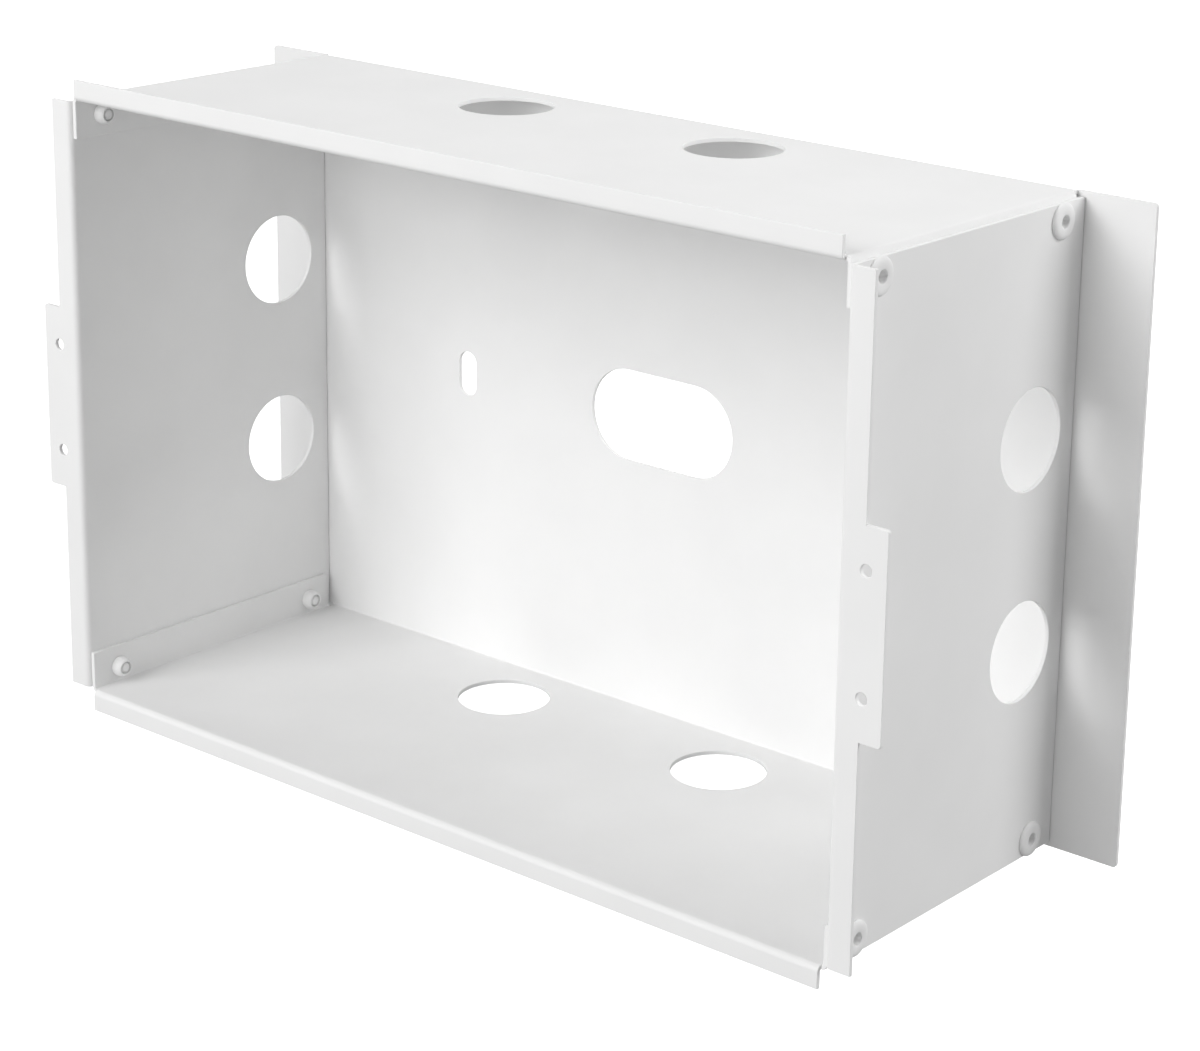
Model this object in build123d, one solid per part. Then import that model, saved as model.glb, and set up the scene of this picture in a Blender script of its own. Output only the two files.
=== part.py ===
from build123d import *
import os

# Driving dimensions, in millimetres.
# The origin is the centre of the open front, in the plane of the front flanges' faces.
# +X is right as seen from the front, +Y goes into the box and +Z is up.

# Sheet steel and its folds
sheet = 1.0
bend_radius = 0.4               # inside radius of every fold
relief = 0.15                   # slit that parts two folds where they meet at a corner

# Box
box_width = 222.0               # over the outer faces of the side panels
box_height = 145.0              # over the outer faces of the top and bottom panels
box_depth = 80.0                # flange faces to the inner face of the back plate

# Front flanges of the folded shell
front_flange_reach = 4.1        # beyond the outer face of the top or bottom panel

# Wings of the back plate, beyond the side panels
wing_reach = 16.75
wing_corner = 1.0

# Blind rivets, eight of one size, each set through a flap and a side panel
rivet_diameter = 4.0
rivet_hole_clearance = 0.05     # on the radius
rivet_head_diameter = 7.8
rivet_head_height = 0.9
rivet_crown_diameter = 5.6      # flat top of the head
rivet_tail_diameter = 4.8
rivet_tail_length = 2.7
rivet_tail_clearance = 1.05     # between the tail and the fold it stands beside
rivet_from_front = 8.5          # axis to the flange faces
rivet_from_back = 8.5           # axis to the back plate

# Flaps that fold from the top and bottom panels along the side panels
flap_margin = 5.1               # rivet axis to the flap's free edge
flap_front_gap = 1.0            # flange faces to the flap's front edge
flap_back_gap = 1.8
flap_rear_corner = 1.2

# Side panels
side_edge_drop = 1.2            # top and bottom edges inside the box's outer faces
side_back_gap = 0.2
side_flange_reach = 5.2         # beyond the side panel's outer face
ear_reach = 10.4                # beyond the side panel's outer face
ear_length = 44.0
ear_corner = 0.8
ear_hole_diameter = 2.7
ear_hole_offset = 5.5           # beyond the side panel's outer face
ear_hole_spacing = 25.8

# Cable entries in the four walls, two in each
cable_hole_diameter = 22.0
panel_hole_spacing = 66.0       # along the top and bottom panels
panel_hole_from_back = 17.2
side_hole_spacing = 46.2        # up the side panels
side_hole_from_back = 16.0

# Cut-outs in the back plate
back_opening_length = 42.0
back_opening_height = 22.0
wall_slot_length = 11.0
wall_slot_width = 5.5
wall_slot_spacing = 122.4

# Places that follow from the driving dimensions
fold_radius = bend_radius + sheet
half_width = box_width / 2
half_height = box_height / 2
wall_inner = half_width - sheet                     # side panel's inner face, where a flap lies on it
flap_inner = wall_inner - sheet
flat_half = wall_inner - fold_radius                # where a panel's flat ends and its flap's fold starts
rear_half = flat_half + bend_radius                 # end of the fold between a panel and the back plate
panel_inner = half_height - sheet
rivet_level = panel_inner - bend_radius - rivet_tail_diameter / 2 - rivet_tail_clearance
flap_edge = rivet_level - flap_margin
flap_rear = box_depth - flap_back_gap
side_half = half_height - side_edge_drop
rivet_rows = (rivet_from_front, box_depth - rivet_from_back)
rivet_hole_radius = rivet_diameter / 2 + rivet_hole_clearance
grip = 2 * sheet                                    # the flap and the side panel that a rivet holds
cutter_length = 2 * grip                            # goes right through one sheet or two
SIDES = (-1, 1)


def folded_section(skin, side):
    """Section of a folded sheet: one skin line and its offset by the sheet's thickness, as a face."""
    return make_face(offset(skin, amount=sheet, side=side))


def both_sides(part):
    """The part and its mirror image in the box's middle plane."""
    return [part, mirror(part, Plane.YZ)]


def top_and_bottom(part):
    """The part and its mirror image at the box's mid-height."""
    return [part, mirror(part, Plane.XY)]


def cable_hole(centre, direction):
    """Round cutter for one cable entry, centred on the sheet it goes through."""
    return Plane(origin=centre, z_dir=direction) * Cylinder(cable_hole_diameter / 2, cutter_length)


def edge_cutters(half, rear):
    """Cutters that narrow the folded strip to a half width, from its front as far as a rear end."""
    height = 2 * (half_height + front_flange_reach)
    corner = (Align.MIN, Align.MAX, Align.CENTER)
    return both_sides(Pos(half, rear, 0) * Box(half_width, box_depth, height, align=corner))


def make_channel():
    """Front flange, top panel, back plate, bottom panel and front flange as one folded strip."""
    flange_tip = half_height + front_flange_reach
    skin = FilletPolyline(
        (0, flange_tip),
        (0, panel_inner),
        (box_depth, panel_inner),
        (box_depth, -panel_inner),
        (0, -panel_inner),
        (0, -flange_tip),
        radius=[fold_radius, bend_radius, bend_radius, fold_radius],
    )
    strip = extrude(Plane.YZ * folded_section(skin, Side.LEFT), rear_half, both=True)
    # The strip is narrower where the flaps fold from it, and narrower again at the flanges.
    strip -= edge_cutters(flat_half, flap_rear + relief)
    strip -= edge_cutters(flat_half - relief, fold_radius + relief)
    return strip


def make_flap():
    """Upper right flap: the fold from the top panel and the strip that lies on the side panel."""
    strip = Line((flap_inner, flap_edge), (flap_inner, panel_inner - bend_radius))
    fold = JernArc(start=strip @ 1, tangent=strip % 1, radius=bend_radius, arc_size=90)
    section = folded_section(strip + fold, Side.RIGHT)
    flap = extrude(Plane.XZ.offset(-flap_front_gap) * section, flap_front_gap - flap_rear)
    free_corners = flap.edges().filter_by(Axis.X).group_by(Axis.Z)[0]
    return fillet(free_corners.sort_by(Axis.Y)[-1], flap_rear_corner)


def make_wing():
    """Right wing: the back plate's edge strip, parted by slits from the folds above and below."""
    root = rear_half + relief
    reach = half_width + wing_reach - root
    outline = Pos(root + reach / 2, 0) * Rectangle(reach, box_height)
    outer_corners = outline.vertices().group_by(Axis.X)[-1]
    outline = fillet(outer_corners, wing_corner)
    neck_half = half_height - fold_radius - relief
    neck_width = 4 * relief                             # bridges the slit and overlaps both sides of it
    neck = Pos(root, 0) * Rectangle(neck_width, 2 * neck_half)
    return extrude(Plane.XZ.offset(-box_depth) * (outline + neck), -sheet)


def make_back_cutters():
    """Cable opening in the middle of the back plate and a screw slot on each side of it."""
    opening = SlotOverall(back_opening_length, back_opening_height)
    slot = SlotOverall(wall_slot_length, wall_slot_width, rotation=90)
    outlines = [opening] + [Pos(side * wall_slot_spacing / 2, 0) * slot for side in SIDES]
    plate_middle = Plane.XZ.offset(-box_depth - sheet / 2)
    return [extrude(plate_middle * outline, cutter_length / 2, both=True) for outline in outlines]


def make_rivet_hole(row):
    """Cutter for the right upper rivet hole of one row, through the flap and the side panel."""
    centre = (wall_inner, row, rivet_level)
    return Plane(origin=centre, z_dir=(1, 0, 0)) * Cylinder(rivet_hole_radius, cutter_length)


def make_shell(rivet_holes):
    """Folded shell with its wings, flaps, cable entries, back cut-outs and rivet holes."""
    shell = make_channel()
    shell += both_sides(make_wing())
    for flap in both_sides(make_flap()):
        shell += top_and_bottom(flap)
    hole_row = box_depth - panel_hole_from_back
    for side in SIDES:
        centre = (side * panel_hole_spacing / 2, hole_row, half_height - sheet / 2)
        shell -= top_and_bottom(cable_hole(centre, (0, 0, 1)))
    shell -= make_back_cutters()
    shell -= rivet_holes
    return shell


def make_side_panel(rivet_holes):
    """Right side panel: wall and front flange folded from one sheet, with an ear on the flange."""
    flange_tip = half_width + side_flange_reach
    skin = FilletPolyline(
        (flange_tip, 0), (wall_inner, 0), (wall_inner, box_depth - side_back_gap), radius=fold_radius
    )
    panel = extrude(folded_section(skin, Side.RIGHT), side_half, both=True)
    ear_root = half_width + bend_radius
    ear_width = half_width + ear_reach - ear_root
    ear = Pos(ear_root + ear_width / 2, 0) * Rectangle(ear_width, ear_length)
    ear = fillet(ear.vertices().group_by(Axis.X)[-1], ear_corner)
    panel += extrude(Plane.XZ * ear, -sheet)
    for level in SIDES:
        screw = (half_width + ear_hole_offset, sheet / 2, level * ear_hole_spacing / 2)
        panel -= Plane(origin=screw, z_dir=(0, 1, 0)) * Cylinder(ear_hole_diameter / 2, cutter_length)
        entry = (half_width - sheet / 2, box_depth - side_hole_from_back, level * side_hole_spacing / 2)
        panel -= cable_hole(entry, (1, 0, 0))
    return panel - rivet_holes


def make_rivet():
    """Set rivet, its mandrel locked in. The head sits on the plane z = 0 and the tail points down."""
    shank = rivet_diameter / 2
    tail_seat = -grip
    tail_end = tail_seat - rivet_tail_length
    tail = rivet_tail_diameter / 2
    outline = Polyline(
        (0, rivet_head_height),
        (rivet_crown_diameter / 2, rivet_head_height),
        (rivet_head_diameter / 2, 0),
        (shank, 0),
        (shank, tail_seat),
        (tail, tail_seat),
        (tail, tail_end),
        (0, tail_end),
        close=True,
    )
    return revolve(Plane.XZ * make_face(outline), Axis.Z)


def set_rivets():
    """Eight rivets, one in each rivet hole, with the heads outside the side panels."""
    rivet = make_rivet()
    rivets = []
    for side in SIDES:
        for row in rivet_rows:
            for level in SIDES:
                seat = Plane(origin=(side * half_width, row, level * rivet_level), z_dir=(side, 0, 0))
                rivets.append(seat * rivet)
    return Compound(label="blind_rivets", children=rivets)


upper_holes = [make_rivet_hole(row) for row in rivet_rows]
right_holes = [hole for upper in upper_holes for hole in top_and_bottom(upper)]
all_holes = [hole for right in right_holes for hole in both_sides(right)]
right_panel = make_side_panel(right_holes)

nodes = {
    "folded_shell": make_shell(all_holes),
    "right_side_panel": right_panel,
    "left_side_panel": mirror(right_panel, Plane.YZ),
    "blind_rivets": set_rivets(),
}

os.makedirs("parts", exist_ok=True)
for name, shape in nodes.items():
    export_step(shape, f"parts/{name}.step")
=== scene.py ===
import bmesh
import bpy
import math
from mathutils import Euler, Matrix, Vector


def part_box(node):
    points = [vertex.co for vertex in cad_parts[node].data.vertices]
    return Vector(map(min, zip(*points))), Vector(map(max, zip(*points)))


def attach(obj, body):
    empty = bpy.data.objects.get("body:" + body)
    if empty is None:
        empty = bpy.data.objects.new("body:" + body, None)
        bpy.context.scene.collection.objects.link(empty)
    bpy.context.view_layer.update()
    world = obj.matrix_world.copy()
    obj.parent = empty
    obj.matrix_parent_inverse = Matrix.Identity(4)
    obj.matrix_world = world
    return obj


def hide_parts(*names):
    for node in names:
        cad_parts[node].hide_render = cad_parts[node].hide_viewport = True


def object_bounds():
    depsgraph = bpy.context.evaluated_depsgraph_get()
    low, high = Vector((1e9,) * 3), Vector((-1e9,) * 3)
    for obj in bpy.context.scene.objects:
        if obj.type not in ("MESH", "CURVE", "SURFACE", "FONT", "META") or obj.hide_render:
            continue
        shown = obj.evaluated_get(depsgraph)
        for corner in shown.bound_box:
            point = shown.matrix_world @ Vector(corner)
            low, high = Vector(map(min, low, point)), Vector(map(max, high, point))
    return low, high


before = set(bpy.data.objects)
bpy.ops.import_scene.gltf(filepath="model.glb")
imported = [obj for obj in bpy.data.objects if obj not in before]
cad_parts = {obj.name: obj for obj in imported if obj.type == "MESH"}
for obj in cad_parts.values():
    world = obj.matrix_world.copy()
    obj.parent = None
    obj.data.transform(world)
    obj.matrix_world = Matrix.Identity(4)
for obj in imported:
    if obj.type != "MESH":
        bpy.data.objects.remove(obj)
cad_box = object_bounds()

# Folded shell: one sheet of 1 mm steel that makes the top panel, the back plate and the bottom panel,
# with a front flange at each end, four side flaps and two wings. It is powder-coated white after it is
# folded and riveted, and the coat rounds every sheared edge.
edge_round = 0.00016
edge_round_steps = 2
sheared_angle = math.radians(40)        # an edge sharper than this was sheared, not folded
flat_angle = math.radians(1)
smooth_angle = math.radians(50)
flat_weight = 100                       # how far the flats rule the shading beside them
merge_distance = 0.000001
flush = 0.00001                         # within this of a plane is in it
lap_face = 0.110                        # a flap's outer face, with a side panel on it
flap_end = 0.0625                       # a flap lies beyond this height, above and below
slit_middle = 0.10908                   # the slit between the end of a rear fold and a wing
slit_width = 0.00015
slit_front = 0.0783
coat_colour = (0.866, 0.866, 0.864, 1.0)
coat_colour_thick = (0.884, 0.884, 0.882, 1.0)
coat_roughness = (0.52, 0.62)
coat_specular = 0.4
cloud_scale = 45.0                      # waves to a metre, as for the grain and the peel
grain_scale = 2600.0
peel_scale = 900.0
peel_height = 0.00008
peel_strength = 0.12


def white_coat():
    """White satin powder coat: a faint cloudiness in the colour and a fine orange peel in the surface."""
    material = bpy.data.materials.new("white_powder_coat_satin")
    material.use_nodes = True
    nodes = material.node_tree.nodes
    links = material.node_tree.links
    shader = nodes["Principled BSDF"]
    shader.inputs["Specular IOR Level"].default_value = coat_specular
    place = nodes.new("ShaderNodeTexCoord")

    cloud = nodes.new("ShaderNodeTexNoise")
    cloud.inputs["Scale"].default_value = cloud_scale
    cloud.inputs["Detail"].default_value = 3.0
    tint = nodes.new("ShaderNodeValToRGB")
    tint.color_ramp.elements[0].position = 0.35
    tint.color_ramp.elements[0].color = coat_colour
    tint.color_ramp.elements[1].position = 0.65
    tint.color_ramp.elements[1].color = coat_colour_thick
    links.new(place.outputs["Object"], cloud.inputs["Vector"])
    links.new(cloud.outputs["Fac"], tint.inputs["Fac"])
    links.new(tint.outputs["Color"], shader.inputs["Base Color"])

    grain = nodes.new("ShaderNodeTexNoise")
    grain.inputs["Scale"].default_value = grain_scale
    grain.inputs["Detail"].default_value = 2.0
    gloss = nodes.new("ShaderNodeMapRange")
    gloss.inputs["From Min"].default_value = 0.3
    gloss.inputs["From Max"].default_value = 0.7
    gloss.inputs["To Min"].default_value = coat_roughness[0]
    gloss.inputs["To Max"].default_value = coat_roughness[1]
    links.new(place.outputs["Object"], grain.inputs["Vector"])
    links.new(grain.outputs["Fac"], gloss.inputs["Value"])
    links.new(gloss.outputs["Result"], shader.inputs["Roughness"])

    peel = nodes.new("ShaderNodeTexNoise")
    peel.inputs["Scale"].default_value = peel_scale
    peel.inputs["Detail"].default_value = 2.0
    relief = nodes.new("ShaderNodeBump")
    relief.inputs["Strength"].default_value = peel_strength
    relief.inputs["Distance"].default_value = peel_height
    links.new(place.outputs["Object"], peel.inputs["Vector"])
    links.new(peel.outputs["Fac"], relief.inputs["Height"])
    links.new(relief.outputs["Normal"], shader.inputs["Normal"])
    return material


def is_shut_in(edge):
    """Whether an edge lies between a flap and its side panel, or in the slit at the end of a rear fold."""
    ends = [vert.co for vert in edge.verts]
    lapped = all(abs(abs(end.x) - lap_face) < flush and abs(end.z) > flap_end for end in ends)
    in_slit = all(abs(abs(end.x) - slit_middle) < slit_width and end.y > slit_front for end in ends)
    return lapped or in_slit


def coated_sheet(node_name, piece_name):
    """Puts a CAD node's sheet in place of that node, with its open sheared edges rounded by the coat."""
    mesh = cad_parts[node_name].data.copy()
    mesh.name = piece_name
    piece = bpy.data.objects.new(piece_name, mesh)
    bpy.context.scene.collection.objects.link(piece)
    bpy.ops.object.select_all(action="DESELECT")
    bpy.context.view_layer.objects.active = piece
    piece.select_set(True)
    bpy.ops.object.mode_set(mode="EDIT")
    bpy.ops.mesh.customdata_custom_splitnormals_clear()
    bpy.ops.mesh.select_all(action="SELECT")
    bpy.ops.mesh.remove_doubles(threshold=merge_distance)
    bpy.ops.mesh.dissolve_limited(angle_limit=flat_angle)
    bpy.ops.mesh.select_all(action="DESELECT")
    bpy.ops.mesh.select_mode(type="EDGE")
    for edge in bmesh.from_edit_mesh(mesh).edges:
        sheared = edge.is_convex and edge.calc_face_angle() > sheared_angle
        edge.select_set(sheared and not is_shut_in(edge))
    bmesh.update_edit_mesh(mesh)
    bpy.ops.mesh.bevel(offset=edge_round, segments=edge_round_steps, affect="EDGES", clamp_overlap=False)
    bpy.ops.object.mode_set(mode="OBJECT")
    bpy.ops.object.shade_smooth_by_angle(angle=smooth_angle)
    even = piece.modifiers.new("even_flats", "WEIGHTED_NORMAL")
    even.keep_sharp = True
    even.weight = flat_weight
    bpy.ops.object.modifier_apply(modifier=even.name)
    mesh.materials.clear()
    mesh.materials.append(powder_coat)
    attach(piece, "root")
    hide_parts(node_name)


powder_coat = white_coat()
coated_sheet("folded_shell", "shell")

# Side panels: two mirrored sheets of the same steel, each a wall with a front flange and an ear for the
# front panel's screws. Each lies on the shell's flaps and is held there by four blind rivets.
for side in ("left", "right"):
    coated_sheet(f"{side}_side_panel", f"{side}_panel")

# Blind rivets: eight aluminium rivets through the side panels and flaps, set before the box is coated, so
# they are white too. The head is a low dome with the mandrel's hole, and the tail inside is a barrel that
# the mandrel's end has drawn up.
head_radius = 0.0039
head_height = 0.0009
head_rim = 0.0002
crown_radius = 0.0026
dome_steps = 7
shank_radius = 0.0020
tail_radius = 0.0024
tail_seat = -0.0020
tail_end = -0.0047
mandrel_hole = 0.0014
mandrel_head = 0.0012
groove_width = 0.0003
groove_depth = 0.0009
rivet_facets = 40
broken_end = -0.0013
# The broken mandrel's face: radius, and rise above the break.
broken_face = ((0.0004, 0.00015), (0.0009, 0.0))
# The rounded lip of the mandrel's hole: radius beyond the hole, and depth below the crown.
hole_lip = ((0.0, 0.00015), (0.000045, 0.000045), (0.00015, 0.0))
# The underside of the head's rim: how far it draws in from the head's radius, and rise above the seat.
head_seat = ((0.00006, 0.00004), (0.00015, 0.0))
# The tail's barrel: how far it draws in from its full radius, at each distance from its seat.
barrel = (
    (0.00015, 0.0), (0.00003, 0.0003), (0.0, 0.0007), (0.00002, 0.0012),
    (0.00012, 0.0017), (0.00028, 0.0021), (0.00045, 0.0025), (0.00058, 0.00267),
)
# The barrel's end, rolled in to the groove round the mandrel: radius beyond the groove, and rise.
barrel_end = ((0.00018, 0.0), (0.00006, 0.00003), (0.0, 0.0001))
# The mandrel's rounded end: how far it draws in from its full radius, and rise above the tail's end.
mandrel_end = ((0.0, 0.0003), (0.0002, 0.0001), (0.0007, 0.00005))


def rivet_outline():
    """Radius and height of each ring of a set rivet, from the broken mandrel up over the head and down."""
    rings = [(radius, broken_end + rise) for radius, rise in broken_face]
    rings.append((mandrel_hole, broken_end))
    rings += [(mandrel_hole + beyond, head_height - depth) for beyond, depth in hole_lip]
    for step in range(dome_steps + 1):
        turn = math.radians(90) * step / dome_steps
        radius = crown_radius + (head_radius - crown_radius) * math.sin(turn)
        rings.append((radius, head_rim + (head_height - head_rim) * math.cos(turn)))
    rings += [(head_radius - inset, rise) for inset, rise in head_seat]
    rings += [(shank_radius, 0.0), (shank_radius, tail_seat)]
    rings += [(tail_radius - inset, tail_seat - distance) for inset, distance in barrel]
    groove = mandrel_head + groove_width
    groove_floor = tail_end + groove_depth
    rings += [(groove + beyond, tail_end + rise) for beyond, rise in barrel_end]
    rings += [(groove, groove_floor), (mandrel_head, groove_floor)]
    rings += [(mandrel_head - inset, tail_end + rise) for inset, rise in mandrel_end]
    return rings


def turned_rivet():
    """One rivet, drawn out ring by ring from a circle, with its axis along Z and its head's seat at zero."""
    rings = rivet_outline()
    bpy.ops.object.select_all(action="DESELECT")
    radius, height = rings[0]
    bpy.ops.mesh.primitive_circle_add(
        vertices=rivet_facets, radius=radius, fill_type="NGON", location=(0.0, 0.0, height)
    )
    rivet = bpy.context.object
    bpy.ops.object.transform_apply(location=True, rotation=False, scale=False)
    bpy.ops.object.mode_set(mode="EDIT")
    bpy.ops.mesh.select_mode(type="EDGE")
    bpy.ops.mesh.select_all(action="DESELECT")
    for edge in bmesh.from_edit_mesh(rivet.data).edges:
        edge.select_set(True)
    for next_radius, next_height in rings[1:]:
        rise = (0.0, 0.0, next_height - height)
        bpy.ops.mesh.extrude_edges_move(TRANSFORM_OT_translate={"value": rise})
        spread = next_radius / radius
        bpy.ops.transform.resize(value=(spread, spread, 1.0), center_override=(0.0, 0.0, next_height))
        radius, height = next_radius, next_height
    bpy.ops.mesh.edge_face_add()
    bpy.ops.mesh.select_all(action="SELECT")
    bpy.ops.mesh.normals_make_consistent(inside=False)
    bpy.ops.object.mode_set(mode="OBJECT")
    bpy.ops.object.shade_smooth_by_angle(angle=smooth_angle)
    return rivet


low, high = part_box("blind_rivets")
model_rivet = turned_rivet()
for side, across in (("left", low.x), ("right", high.x)):
    seat = across - math.copysign(head_height, across)
    lean = Matrix.Rotation(math.copysign(math.radians(90), across), 4, "Y")
    for row, depth in (("front", low.y + head_radius), ("rear", high.y - head_radius)):
        for level, height in (("lower", low.z + head_radius), ("upper", high.z - head_radius)):
            name = f"{side}_{row}_{level}_rivet"
            mesh = model_rivet.data.copy()
            mesh.name = name
            mesh.transform(Matrix.Translation((seat, depth, height)) @ lean)
            mesh.materials.append(powder_coat)
            rivet = bpy.data.objects.new(name, mesh)
            bpy.context.scene.collection.objects.link(rivet)
            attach(rivet, "root")
            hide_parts("blind_rivets")
bpy.data.objects.remove(model_rivet)

# Studio: a plain white floor under the lower flange, turned up into a wall far off on every side, that lights
# nothing itself, dim air all round, and four soft lamps: two in front, one behind the right side and a weaker
# one behind on the left.
scene = bpy.context.scene
scene.view_settings.view_transform = "Standard"
white = (1.0, 1.0, 1.0, 1.0)
floor_colour = (0.8, 0.8, 0.8, 1.0)
floor_size = 12.0
wall_height = 8.0
bpy.ops.object.select_all(action="DESELECT")
bpy.ops.mesh.primitive_plane_add(size=floor_size, location=(0.0, 0.0, cad_box[0][2]))
floor = bpy.context.object
floor.name = "floor"
bpy.ops.object.mode_set(mode="EDIT")
bpy.ops.mesh.select_mode(type="EDGE")
bpy.ops.mesh.select_all(action="SELECT")
bpy.ops.mesh.extrude_edges_move(TRANSFORM_OT_translate={"value": (0.0, 0.0, wall_height)})
bpy.ops.object.mode_set(mode="OBJECT")
floor.visible_diffuse = False
floor.visible_glossy = False
floor.visible_shadow = False
floor_paint = bpy.data.materials.new("white_floor")
floor_paint.use_nodes = True
floor_shader = floor_paint.node_tree.nodes["Principled BSDF"]
floor_shader.inputs["Base Color"].default_value = floor_colour
floor_shader.inputs["Roughness"].default_value = 0.9
floor_shader.inputs["Emission Color"].default_value = white
floor_shader.inputs["Emission Strength"].default_value = 1.0
floor.data.materials.append(floor_paint)

air_strength = 0.327
world = bpy.data.worlds.new("studio_air")
scene.world = world
world.use_nodes = True
air = world.node_tree.nodes["Background"]
air.inputs["Color"].default_value = white
air.inputs["Strength"].default_value = air_strength

lamp_aim = Vector((0.0, 0.04, 0.0))
lamp_distance = 1.4
lamp_size = 0.8
for name, azimuth, elevation, watts in (
    ("front_softbox", -18.0, 30.0, 10.3),
    ("low_softbox", 0.0, 10.0, 5.0),
    ("right_softbox", 120.0, 30.0, 11.0),
    ("rear_softbox", 210.0, 40.0, 3.8),
):
    softbox = bpy.data.lights.new(name, "AREA")
    softbox.size = lamp_size
    softbox.energy = watts
    lamp = bpy.data.objects.new(name, softbox)
    scene.collection.objects.link(lamp)
    tilt = Euler((math.radians(90 - elevation), 0.0, math.radians(azimuth))).to_matrix().to_4x4()
    lamp.matrix_world = Matrix.Translation(lamp_aim) @ tilt @ Matrix.Translation((0.0, 0.0, lamp_distance))
    lamp.visible_camera = False

# Camera: a long lens a little above the box, to the right of its open front. The frame is shifted, because
# the view is the lower left part of a wider one.
view_azimuth = math.radians(38.508)
view_elevation = math.radians(15.609)
view_roll = math.radians(1.329)
view_distance = 0.67971
view_aim = Vector((0.02435, 0.06783, 0.02319))
view_lens = 91.942
frame_shift = (-0.0933, -0.1404)
sensor_width = 36.0
camera_data = bpy.data.cameras.new("camera")
camera_data.sensor_fit = "HORIZONTAL"
camera_data.sensor_width = sensor_width
camera_data.lens = view_lens
camera_data.shift_x, camera_data.shift_y = frame_shift
camera = bpy.data.objects.new("camera", camera_data)
scene.collection.objects.link(camera)
turn = Euler((math.radians(90) - view_elevation, 0.0, view_azimuth)).to_matrix().to_4x4()
stand = Matrix.Translation(view_aim) @ turn @ Matrix.Translation((0.0, 0.0, view_distance))
camera.matrix_world = stand @ Matrix.Rotation(view_roll, 4, "Z")
scene.camera = camera
